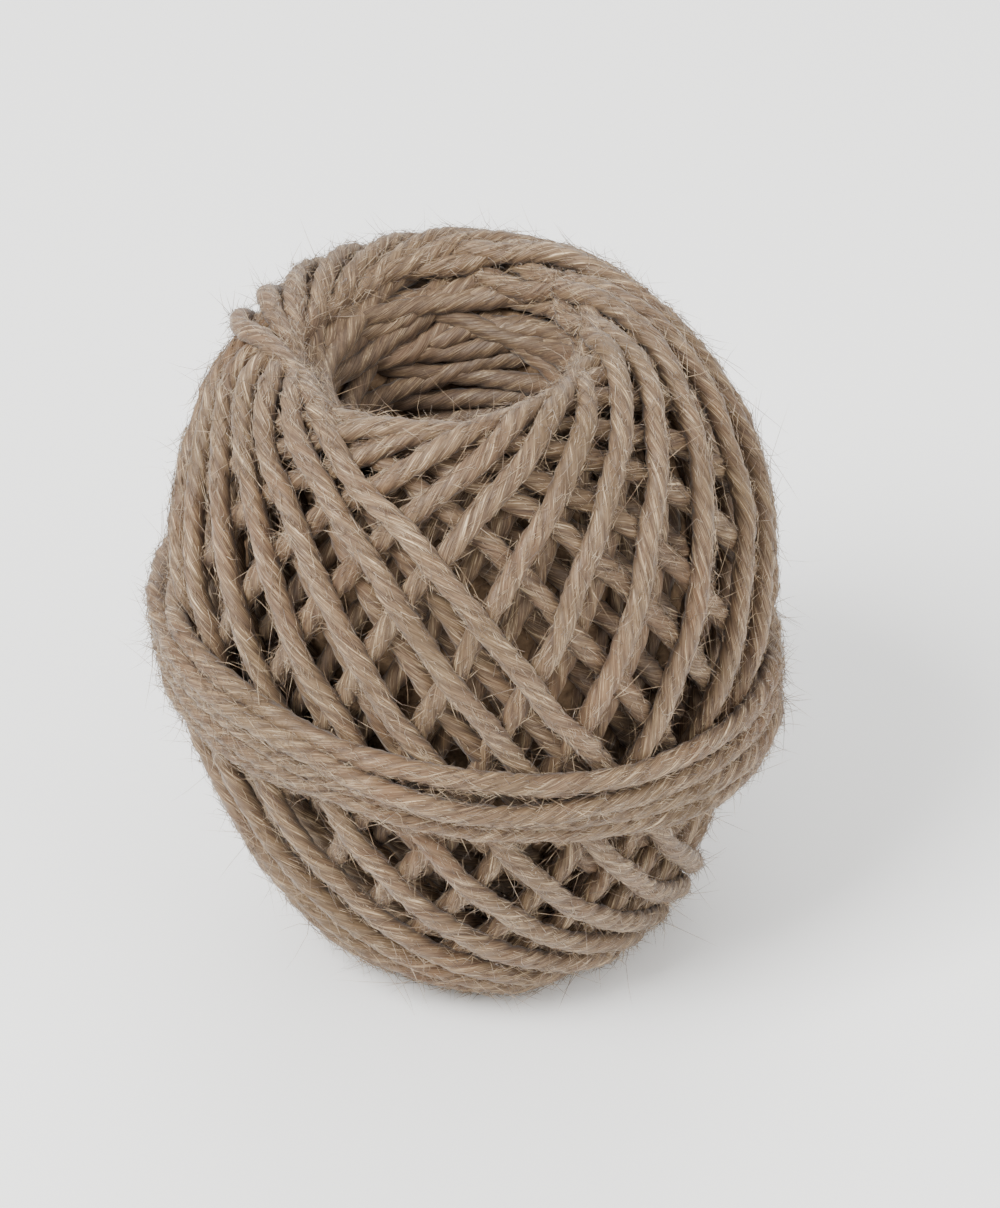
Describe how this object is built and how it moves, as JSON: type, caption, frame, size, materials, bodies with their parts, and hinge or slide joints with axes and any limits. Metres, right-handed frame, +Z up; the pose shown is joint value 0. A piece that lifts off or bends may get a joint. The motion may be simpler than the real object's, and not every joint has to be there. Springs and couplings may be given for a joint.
{
  "type": "ball of twine",
  "caption": "Cross-wound ball of jute twine with an open centre and a belly band of tight turns, standing on its lower rim",
  "frame": {"origin": "on the surface the ball stands on, under the middle of its hole", "axes": "+Z up along the hole, -Y towards the side with the newest turn, +X to its right"},
  "size_m": [0.072, 0.072, 0.079],
  "materials": {
    "twine": "matt, hairy, three-ply jute"
  },
  "bodies": {
    "root": {"ball": "twine"}
  },
  "joints": []
}
